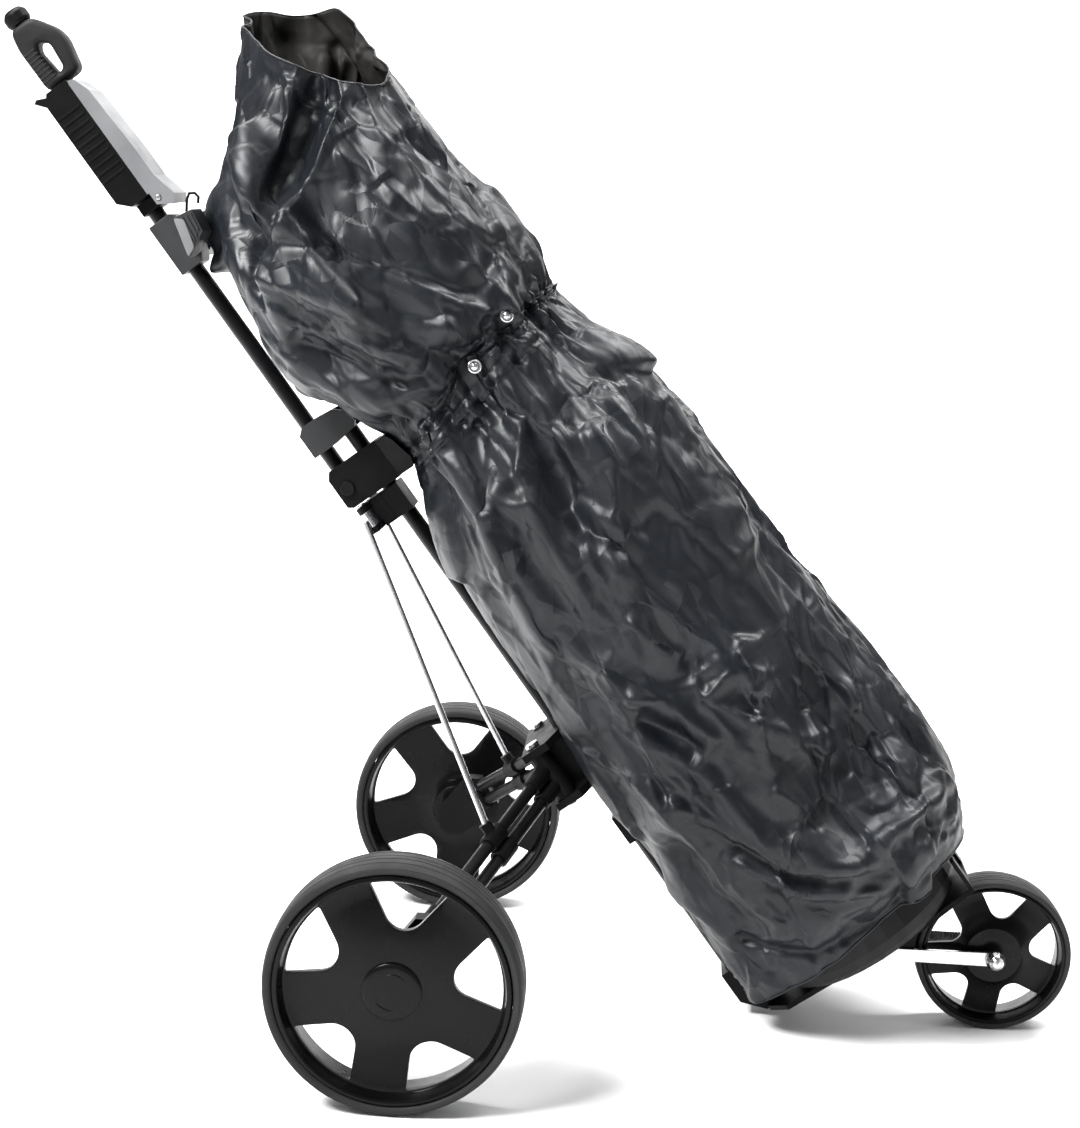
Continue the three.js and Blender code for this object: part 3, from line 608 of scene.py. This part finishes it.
def make_cover():
    grid, number = cover_grid()
    half = grid[..., 1].max(axis=1)
    normal = grid_normals(grid)
    n, y = grid[..., 0], grid[..., 1]
    rear = np.maximum(smoothstep((n - 318) / 40), 0.25)
    rear *= 0.45 + 0.55 * smoothstep(np.abs(y) / (0.55 * half[:, None]))
    push = 0.45 * fold_height(grid, half) * rear
    rng = np.random.default_rng(11)
    # gathers that fan out from the neck, strongest beside it
    turn = np.linspace(0, 2 * np.pi, AROUND, endpoint=False)
    away = number - NECK
    fan = np.zeros_like(push)
    for waves, reach, size in ((17, 2.2, 5.0), (29, 1.3, 4.0), (43, 0.8, 2.6)):
        phase = rng.uniform(0, 2 * np.pi, 2)
        drift = 0.9 * np.sin(2 * turn + phase[1])
        ridge = 1 - 2 * np.abs(np.sin(0.5 * (waves * turn + phase[0] + drift)))
        fan += size * np.exp(-np.abs(away)[:, None] / reach) * ridge[None, :]
    push += fan * np.maximum(rear, 0.5)
    push += facets(grid, 150, (0.75, 0.75, 1.5), 0.10, 5, 20) * rear
    push += facets(grid, 75, (0.8, 0.8, 1.4), 0.05, 6, 16) * rear
    edge = smoothstep(np.minimum(number, len(RINGS) - 1 - number) / 0.5) * 0.8 + 0.2
    grid = grid + normal * (push * edge[:, None])[..., None]
    return grid, number


def cover_object(grid):
    return add_mesh("rain_cover_cloth", tilt_array(grid.reshape(-1, 3)), grid_faces(*grid.shape[:2]),
                    "coated_nylon", "frame", smooth=None)


def crumple(obj, hold, frames=18):
    """Cloth that is a little too large for the space it is held in buckles into folds."""
    group = obj.vertex_groups.new(name="hold")
    for level in np.unique(hold):
        group.add([int(k) for k in np.nonzero(hold == level)[0]], float(level), "REPLACE")
    mod = obj.modifiers.new("cloth", "CLOTH")
    cloth = mod.settings
    cloth.quality = 5
    cloth.mass = 0.12
    cloth.air_damping = 2.0
    cloth.tension_stiffness = 25
    cloth.compression_stiffness = 25
    cloth.shear_stiffness = 8
    cloth.bending_stiffness = 1.6
    cloth.vertex_group_mass = "hold"
    cloth.pin_stiffness = 1.0
    cloth.shrink_min = SLACK
    cloth.shrink_max = SLACK
    cloth.effector_weights.gravity = 0.25
    mod.collision_settings.use_collision = False
    mod.point_cache.frame_start = 1
    mod.point_cache.frame_end = frames
    scene = bpy.context.scene
    for frame_number in range(1, frames + 1):
        scene.frame_set(frame_number)
    apply_modifiers(obj)
    scene.frame_set(1)


def coords(obj):
    co = np.empty(len(obj.data.vertices) * 3)
    obj.data.vertices.foreach_get("co", co)
    return co.reshape(-1, 3)


def set_coords(obj, co):
    obj.data.vertices.foreach_set("co", co.reshape(-1))
    obj.data.update()


def untilt(p):
    """Row-frame metres to leaning-frame millimetres."""
    x, z = (p[:, 0] - AXLE_X) / MM, p[:, 2] / MM
    return np.stack([x * C + z * S, p[:, 1] / MM, z * C - x * S], axis=1)


def neck_place(p):
    """Height above the neck's plane, angle round the neck and the outward direction, for points in mm."""
    rn, rh, fn, fh, b, _ = RINGS[NECK]
    long = math.hypot(fn - rn, fh - rh) / 2
    ax = np.array([(fn - rn), (fh - rh)]) / (2 * long)
    dn, dh = p[:, 0] - (rn + fn) / 2, p[:, 2] - (rh + fh) / 2
    along, above = dn * ax[0] + dh * ax[1], -dn * ax[1] + dh * ax[0]
    angle = np.arctan2(p[:, 1] / b, along / long)
    out = np.stack([along / long * ax[0] / long, p[:, 1] / b / b, along / long * ax[1] / long], axis=1)
    out /= np.linalg.norm(out, axis=1, keepdims=True) + 1e-9
    return above, angle, out


def crease(obj):
    """Small flat facets with sharp edges between them, all over the cloth."""
    p = untilt(coords(obj))
    nor = np.empty(len(p) * 3)
    obj.data.vertices.foreach_get("normal", nor)
    calm = sum(np.sin(p @ np.array(w) / 60 + a) for w, a in
               (((1, 0.3, 0.7), 0.4), ((-0.6, 0.8, 0.9), 2.0), ((0.2, -1.1, 0.5), 4.1)))
    busy = 0.25 + 0.75 * smoothstep(0.5 + 0.45 * calm)
    push = facets(p, 80, (0.75, 0.75, 1.7), 0.060, 21, 44)
    push += busy * facets(p, 34, (0.8, 0.8, 1.5), 0.062, 22, 38)
    # pleats that run straight out of the neck, long on the hood's side and shorter below
    above, angle, _ = neck_place(p)
    for waves, reach, size, phase in ((15, 150, 5.0, 0.4), (26, 80, 3.4, 1.9), (41, 45, 2.2, 2.7)):
        reach = np.where(above > 0, reach, 0.7 * reach)
        bend_in = 0.35 * np.sin(2 * angle + phase)
        ridge = 1 - 2 * np.abs(np.sin(0.5 * waves * (angle + 0.05 * bend_in * above / 60) + phase))
        push += (np.where(above > 0, size, 0.55 * size) * ridge * np.exp(-np.abs(above) / reach)
                 * (0.6 + 0.4 * np.sin(3 * angle + 2 * phase)))
    push += 0.75 * fold_height(p[:, None, :], np.full(len(p), 150.0))[:, 0] * smoothstep((p[:, 0] - 330) / 30)
    set_coords(obj, coords(obj) + nor.reshape(-1, 3) * (push * MM)[:, None])


BAG_N = 475          # the bag's own axis, in the leaning frame


def clear_of(obj, nodes, gap):
    """Cloth that has sunk into the pieces under it is lifted back out of them."""
    trees = []
    for node in nodes:
        mesh = frame["nodes"][node].data
        place = frame["nodes"][node].matrix_world
        verts = [place @ v.co for v in mesh.vertices]
        axis_x, axis_z = tilt(BAG_N, 0, 0).x, tilt(BAG_N, 0, 0).z
        faces = []
        for poly in mesh.polygons:
            away = place @ poly.center - Vector((axis_x, 0, axis_z))
            away -= away.dot(H_AXIS) * H_AXIS
            if poly.normal.dot(away) > 0.3 * away.length:
                faces.append(tuple(poly.vertices))
        trees.append(BVHTree.FromPolygons(verts, faces))
    co = coords(obj)
    start = co.copy()
    for k in range(len(co)):
        for tree in trees:
            at, normal, _, _ = tree.find_nearest(Vector(co[k]), 0.03)
            if at is not None and (Vector(co[k]) - at).dot(normal) < gap:
                co[k] = at + normal * gap
    set_coords(obj, start + spread_lift(obj, co - start, 300))


CLAMP_N, CLAMP_Y = 303, 21       # how far forward the bracket's clamp reaches, and to which side, mm
WING_N, WING_Y = 325, 68         # the same for its two wings
BRACKET_H = (820, 878)           # from its foot to its top


def clear_bracket(obj):
    """The cloth lies in front of the handle's bracket."""
    p = untilt(coords(obj))
    n, y, h = p[:, 0], np.abs(p[:, 1]), p[:, 2]
    limit = np.where(y < CLAMP_Y, CLAMP_N, WING_N)
    beside = (y < WING_Y) & (h > BRACKET_H[0]) & (h < BRACKET_H[1])
    short = np.where(beside, np.maximum(limit - n, 0), 0) * MM
    set_coords(obj, coords(obj) + spread_lift(obj, short[:, None] * np.array(N_AXIS), 25))


def spread_lift(obj, lift, rounds):
    """The cloth round a lifted place rises with it, less and less further off."""
    ends = np.empty(len(obj.data.edges) * 2, np.int64)
    obj.data.edges.foreach_get("vertices", ends)
    a, b = ends[0::2], ends[1::2]
    count = np.bincount(ends, minlength=len(lift))[:, None]
    for _ in range(rounds):
        total = np.stack([np.bincount(a, lift[b, c], len(lift)) + np.bincount(b, lift[a, c], len(lift))
                          for c in range(3)], axis=1)
        mean = total / count
        rises = np.linalg.norm(mean, axis=1) > np.linalg.norm(lift, axis=1)
        lift = np.where(rises[:, None], mean, lift)
    return lift


BAND = 34            # height of the shirred band, mm
PUFFS = 46           # gathers round the neck


def gather_neck(obj):
    """Three rows of elastic thread pull the band into small puffs, with pleats running out of it."""
    p = untilt(coords(obj))
    above, angle, out = neck_place(p)
    rng = np.random.default_rng(4)
    wobble = sum(0.5 * np.sin(k * angle + a) for k, a in zip((3, 5, 8, 13), rng.uniform(0, 6.3, 4)))
    row = (above / BAND + 0.5) * 3
    inside = np.clip((0.5 - np.abs(above / BAND)) * 8, 0, 1)
    number = np.clip(np.floor(row), 0, 2)
    t = row - number
    swell = np.clip(np.sin(np.pi * np.clip(t, 0, 1)), 0, 1) ** 0.7
    puff = np.abs(np.sin(0.5 * (PUFFS * angle) + wobble + number * 1.7)) ** 0.8
    size = 0.7 + 0.3 * np.sin(11 * angle + number * 2.1)
    push = inside * (7.0 * swell * puff * size + 0.5)
    beyond = np.maximum(np.abs(above) - BAND / 2, 0)
    pleat = 1 - 2 * np.abs(np.sin(0.5 * PUFFS * angle * 0.62 + wobble * 1.4 + np.sign(above)))
    push += (1 - inside) * 3.6 * pleat * np.exp(-beyond / 22)
    set_coords(obj, tilt_array(p + out * push[:, None]))


def sweep(name, points, radius, mat, body, ring=8):
    """Closed tube through a loop of points."""
    verts, faces, m = [], [], len(points)
    for k, p in enumerate(points):
        along = (points[(k + 1) % m] - points[k - 1]).normalized()
        side = along.cross(H_AXIS)
        side = side.normalized() if side.length > 0.05 else along.cross(N_AXIS).normalized()
        up = side.cross(along)
        for q in range(ring):
            a = 2 * math.pi * q / ring
            verts.append(p + radius * (math.cos(a) * side + math.sin(a) * up))
    for k in range(m):
        n = (k + 1) % m
        faces += [(k * ring + q, k * ring + (q + 1) % ring, n * ring + (q + 1) % ring, n * ring + q)
                  for q in range(ring)]
    obj = add_mesh(name, verts, faces, mat, body, 60)
    recalc(obj)
    return obj


def boundary_loops(obj):
    bm = bmesh.new()
    bm.from_mesh(obj.data)
    left = {e for e in bm.edges if e.is_boundary}
    loops = []
    while left:
        edge = min(left, key=lambda e: e.index)
        start, v = edge.verts
        line = [start.co.copy()]
        left.discard(edge)
        while v != start:
            line.append(v.co.copy())
            edge = next(e for e in v.link_edges if e in left)
            left.discard(edge)
            v = edge.other_vert(v)
        loops.append(line)
    bm.free()
    return loops


def calm_loop(points):
    """A loop of points with each one moved to the middle of its five nearest along the loop."""
    m = len(points)
    return [sum((points[(k + d) % m] for d in range(-2, 3)), Vector()) / 5 for k in range(m)]


def snap(name, cover, n, y, h, radius=7.6):
    """Press stud: flared ring with a dome, set on the cloth where it comes nearest."""
    want = tilt(n, y, h)
    best = min(cover.data.vertices, key=lambda v: (v.co - want).length_squared)
    line = [(0.0, 0.62), (0.32, 0.58), (0.52, 0.42), (0.60, 0.26), (0.70, 0.24), (0.86, 0.32), (0.97, 0.24),
            (1.0, 0.10), (0.98, -0.12), (0.0, -0.12)]
    verts, faces = revolve([(max(a, 0.002) * radius * MM, b * radius * MM) for a, b in line], 40, (0, 0, 0))
    facing = Vector((0.25, -1, 0.2)).normalized()
    turn = Vector((0, 1, 0)).rotation_difference(facing)
    place = best.co + 3.5 * MM * facing
    obj = add_mesh(name, [turn @ Vector(v) + place for v in verts], faces, "silver_steel", "frame", 40)
    recalc(obj)
    return obj


def build_cover():
    """Shape the cover, crumple it, crease and gather it, and lift it off what lies under it."""
    grid, number = make_cover()
    obj = cover_object(grid)
    last = len(RINGS) - 1
    # how firmly the cloth is held: fully at hem, neck and mouth, well along the tubes and in front
    hold = 0.10 + 0.9 * np.exp(-(number / 0.35) ** 2) + 0.9 * np.exp(-((number - NECK) / 0.35) ** 2)
    hold += 0.9 * np.exp(-((last - number) / 0.3) ** 2)
    turn = np.linspace(0, 2 * np.pi, AROUND, endpoint=False)
    hold = hold[:, None] + 0.3 * (1 - smoothstep(np.abs(np.sin(turn)) / 0.6))[None, :]
    hold = hold + 0.6 * (number < NECK)[:, None] * smoothstep((np.cos(turn) - 0.35) / 0.4)[None, :]
    hold = np.round(np.clip(hold, 0, 1), 2)
    crumple(obj, hold.reshape(-1))
    sub = obj.modifiers.new("sub", "SUBSURF")
    sub.levels = sub.render_levels = 1
    apply_modifiers(obj)
    crease(obj)
    gather_neck(obj)
    clear_of(obj, ("bag_body", "bag_cuff"), 2.5 * MM)
    clear_bracket(obj)
    hems = [sweep("cover_hem_%d" % k, calm_loop(loop), 1.1 * MM, "coated_nylon", "frame")
            for k, loop in enumerate(boundary_loops(obj))]
    thick = obj.modifiers.new("thick", "SOLIDIFY")
    thick.thickness = 0.0009
    thick.offset = -1
    thick.material_offset = 1
    thick.material_offset_rim = 0
    obj.data.materials.append(material("cover_inside"))
    apply_modifiers(obj)
    shade(obj, None)
    studs = [snap("snap_low", obj, 473, -118, 559), snap("snap_high", obj, 539, -88, 588)]
    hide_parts("rain_cover")


# ---- handle, grip and bracket --------------------------------------------------------------------
def plate(name, loops, y_mid, half, ease, mat, body, smooth=36):
    """Flat piece in the leaning frame: outlines of (n, h) in mm, the first outside, with rounded edges."""
    data = bpy.data.curves.new(name, "CURVE")
    data.dimensions = "2D"
    data.fill_mode = "BOTH"
    data.extrude = half - ease
    data.bevel_depth = ease
    data.bevel_resolution = 3
    data.offset = -ease
    for loop in loops:
        line = data.splines.new("POLY")
        line.points.add(len(loop) - 1)
        for point, (a, b) in zip(line.points, loop):
            point.co = (a, b, 0, 1)
        line.use_cyclic_u = True
    made = bpy.data.objects.new(name, data)
    bpy.context.scene.collection.objects.link(made)
    bpy.context.view_layer.update()
    mesh = bpy.data.meshes.new_from_object(made.evaluated_get(bpy.context.evaluated_depsgraph_get()))
    verts = [tilt(v.co.x, y_mid + v.co.z, v.co.y) for v in mesh.vertices]
    faces = [tuple(p.vertices) for p in mesh.polygons]
    bpy.data.objects.remove(made)
    obj = add_mesh(name, verts, faces, mat, body, smooth)
    bm = bmesh.new()
    bm.from_mesh(obj.data)
    bmesh.ops.remove_doubles(bm, verts=bm.verts, dist=0.00002)
    bmesh.ops.recalc_face_normals(bm, faces=bm.faces)
    bm.to_mesh(obj.data)
    bm.free()
    shade(obj, smooth)
    return obj


def bend(points, radius, steps=6):
    return [(p.x, p.y) for p in rounded(points, radius, steps)]


def make_handle():
    outer = bend([(258, 1063.6), (301, 1063.6), (309, 1100), (306, 1114), (289, 1140), (262, 1140),
                  (257, 1118)], 9)
    slit = bend([(279, 1074), (275, 1104), (280, 1113), (290, 1106), (287, 1076)], 6)
    grip = plate("visual_grip", [outer, slit], 0, 12.8, 6, "grip_rubber", "handle")
    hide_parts("grip_loop")
    ribs = [plate("grip_rib_%d" % k, [bend([(258.5, h), (277 - k * 0.4, h + 1), (277 - k * 0.4, h + 3.4),
                                            (258.5, h + 2.4)], 1)], 0, 13.2, 1, "grip_rubber", "handle")
            for k, h in enumerate(range(1072, 1112, 5))]
    face = plate("bracket_face", [bend([(289, 829), (301, 834), (309, 864), (300, 871)], 3)], -64.6, 1.2, 0.6,
                 "pale_plastic", "handle")
    lines = [plate("bracket_rib_%d" % k,
                   [bend([(n, low), (n + 2.6, low + 2), (n + 5.4, high), (n + 2.8, high)], 0.8)],
                   -64.4, 1.2, 0.5, "dark_plastic", "handle")
             for k, (n, low, high) in enumerate([(304, 838, 867), (309, 841, 866), (314, 845, 865)])]
    bands = [plate("console_rib_%d" % k, [bend([(252, h), (281, h), (281, h + 3), (252, h + 3)], 1)],
                   -27, 0.9, 0.6, "black_plastic", "handle") for k, h in enumerate(range(948, 1036, 9))]


# ---- wheels ------------------------------------------------------------------------------------
def rounded(points, radius, steps=5):
    """Outline with every corner rounded by an arc of about the given radius."""
    pts = [Vector(p) for p in points]
    out = []
    for k, p in enumerate(pts):
        a, b = pts[k - 1] - p, pts[(k + 1) % len(pts)] - p
        cut = min(radius, a.length * 0.48, b.length * 0.48)
        start, end = p + a.normalized() * cut, p + b.normalized() * cut
        for i in range(steps + 1):
            t = i / steps
            out.append((1 - t) ** 2 * start + 2 * t * (1 - t) * p + t**2 * end)
    return out


def window_outline(r, turn):
    """Wide arc outside, U towards the hub."""
    arc = [math.radians(-21 + 42 * i / 14) for i in range(15)]
    pts = [(0.836 * r * math.cos(a), 0.836 * r * math.sin(a)) for a in arc]
    mid, half = 0.64 * r, 0.165 * r
    corner = Vector((pts[-1][0] - mid, pts[-1][1]))
    start = math.atan2(corner.y, corner.x) + math.acos(half / corner.length)
    reach = 2 * (math.pi - start)
    turns = [start + reach * i / 16 for i in range(17)]
    pts += [(mid + half * math.cos(a), half * math.sin(a)) for a in turns]
    smooth = rounded(pts, 7 * MM, 3)
    c, s = math.cos(turn), math.sin(turn)
    return [(x * c - y * s, x * s + y * c) for x, y in smooth]


def prism(outlines, at, y0, y1):
    verts, faces = [], []
    for line in outlines:
        base, m = len(verts), len(line)
        verts += [(at[0] + x, y, at[2] + z) for y in (y0, y1) for x, z in line]
        faces.append(tuple(base + k for k in range(m)))
        faces.append(tuple(base + m + k for k in reversed(range(m))))
        faces += [(base + k, base + m + k, base + m + (k + 1) % m, base + (k + 1) % m) for k in range(m)]
    return verts, faces


def recalc(obj):
    bm = bmesh.new()
    bm.from_mesh(obj.data)
    bmesh.ops.recalc_face_normals(bm, faces=bm.faces)
    bm.to_mesh(obj.data)
    bm.free()


def make_wheel(tag, body, out, turn, bore):
    """One wheel: out is -1 when its outer side faces -y."""
    low, high = span("tyre_" + tag)
    at = (low + high) / 2
    r, half = float(high[2] - low[2]) / 2, float(high[1] - low[1]) / 2
    k = r / 0.132

    def section(points):
        return [(radius * r, out * (reach * MM * k if abs(reach) < 20 else math.copysign(
            half - (28 - abs(reach)) * MM * k, reach))) for radius, reach in points]

    tyre = [(0.918, 24), (0.93, 26.2), (0.95, 27.6), (0.966, 27.9), (0.968, 27.2), (0.972, 27.2),
            (0.975, 27.0), (0.984, 25.2), (0.991, 22), (0.9955, 18), (0.9965, 17.4), (0.991, 17.0),
            (0.991, 15.6), (0.9968, 15.2), (0.9985, 10), (0.9992, 5.6), (0.9945, 5.2), (0.9945, 3.8),
            (0.9998, 3.4)]
    tyre += [(1.0, 0.0)] + [(a, -b) for a, b in reversed(tyre)]
    v, f = revolve(section(tyre), 160, at)
    obj = add_mesh("visual_tyre_" + tag, v, f, "tyre_rubber", body, 34)
    recalc(obj)
    shade(obj, 34)
    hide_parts("tyre_" + tag)

    b = bore / r * MM
    rim = [(0.914, 24.5), (0.905, 26.2), (0.885, 26.8), (0.872, 26.2), (0.866, 24.6), (0.858, 16),
           (0.846, 11.4), (0.80, 11.0), (0.70, 13.0), (0.58, 16.0), (0.46, 18.8), (0.36, 20.8), (0.29, 21.8),
           (0.25, 22.4), (0.234, 22.6), (b, 22.6), (b, -24.5), (0.225, -24.5), (0.232, -23.6), (0.24, 10.5),
           (0.30, 12.6), (0.46, 11.5), (0.70, 6.4), (0.80, 4.4), (0.846, 3.6), (0.858, 1), (0.866, -24.6),
           (0.872, -26.2), (0.885, -26.8), (0.905, -26.2), (0.914, -24.5)]
    v, f = revolve(section(rim), 144, at)
    obj = add_mesh("visual_rim_" + tag, v, f, "gloss_black", body, 34)
    recalc(obj)
    lines = [window_outline(r, turn + n * 2 * math.pi / 5) for n in range(5)]
    v, f = prism(lines, at, float(at[1]) + out * 1 * MM * k, float(at[1]) + out * 19 * MM * k)
    knife = add_mesh("knife", v, f, None)
    recalc(knife)
    cut = obj.modifiers.new("windows", "BOOLEAN")
    cut.object = knife
    cut.operation = "DIFFERENCE"
    cut.solver = "EXACT"
    bevel(obj, 1.9 * MM * k, 3, 60)
    apply_modifiers(obj)
    bpy.data.objects.remove(knife)
    shade(obj, 32)
    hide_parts("rim_" + tag)


def hub_cap(tag, body, out):
    """Shallow dome with two raised arcs."""
    low, high = span("hub_cap_rear_" + tag)
    at = (low + high) / 2
    r = float(high[2] - low[2]) / 2
    face, top = (low[1], high[1]) if out > 0 else (high[1], low[1])
    deep = abs(float(top - face))
    line = [(0.0, 0.34), (0.45, 0.33), (0.74, 0.29), (0.86, 0.24), (0.93, 0.18), (0.985, 0.08), (1.0, 0.0),
            (0.99, -0.1), (0.0, -0.1)]
    profile = [(max(a, 0.002) * r, out * h * deep) for a, h in line]
    verts, faces = revolve(profile, 72, (at[0], float(face), at[2]))
    obj = add_mesh("visual_hub_cap_" + tag, verts, faces, "gloss_black", body, 40)
    recalc(obj)
    arcs_v, arcs_f = [], []
    for start in (40, 215):
        steps, ring = 18, 8
        for i in range(steps + 1):
            a = math.radians(start + 62 * i / steps)
            thick = r * 0.045 * math.sin(math.pi * (0.06 + 0.88 * i / steps)) ** 0.6
            for q in range(ring):
                b = 2 * math.pi * q / ring
                rad = r * 0.62 + thick * math.cos(b)
                level = float(face) + out * (0.30 * deep + thick * 0.7 * math.sin(b))
                arcs_v.append((at[0] + rad * math.cos(a), level, at[2] + rad * math.sin(a)))
        base = len(arcs_v) - (steps + 1) * ring
        for i in range(steps):
            for q in range(ring):
                n = (q + 1) % ring
                arcs_f.append((base + i * ring + q, base + i * ring + n, base + (i + 1) * ring + n,
                               base + (i + 1) * ring + q))
        arcs_f.append(tuple(base + q for q in range(ring)))
        arcs_f.append(tuple(base + steps * ring + q for q in reversed(range(ring))))
    arcs = add_mesh("hub_arcs_" + tag, arcs_v, arcs_f, "gloss_black", body, 60)
    recalc(arcs)
    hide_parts("hub_cap_rear_" + tag)


def make_wheels():
    for tag, body, out, turn, bore in (("rear_right", "wheel_rear_right", -1, 10.5, 8.3),
                                       ("rear_left", "wheel_rear_left", 1, 18, 8.3),
                                       ("front", "wheel_front", -1, 10, 6.3)):
        make_wheel(tag, body, out, math.radians(turn), bore)
    hub_cap("right", "wheel_rear_right", -1)
    hub_cap("left", "wheel_rear_left", 1)


bpy.context.scene.view_settings.view_transform = "Standard"
make_camera()
make_stage()
finish_cad_nodes()
make_wheels()
make_handle()
build_cover()
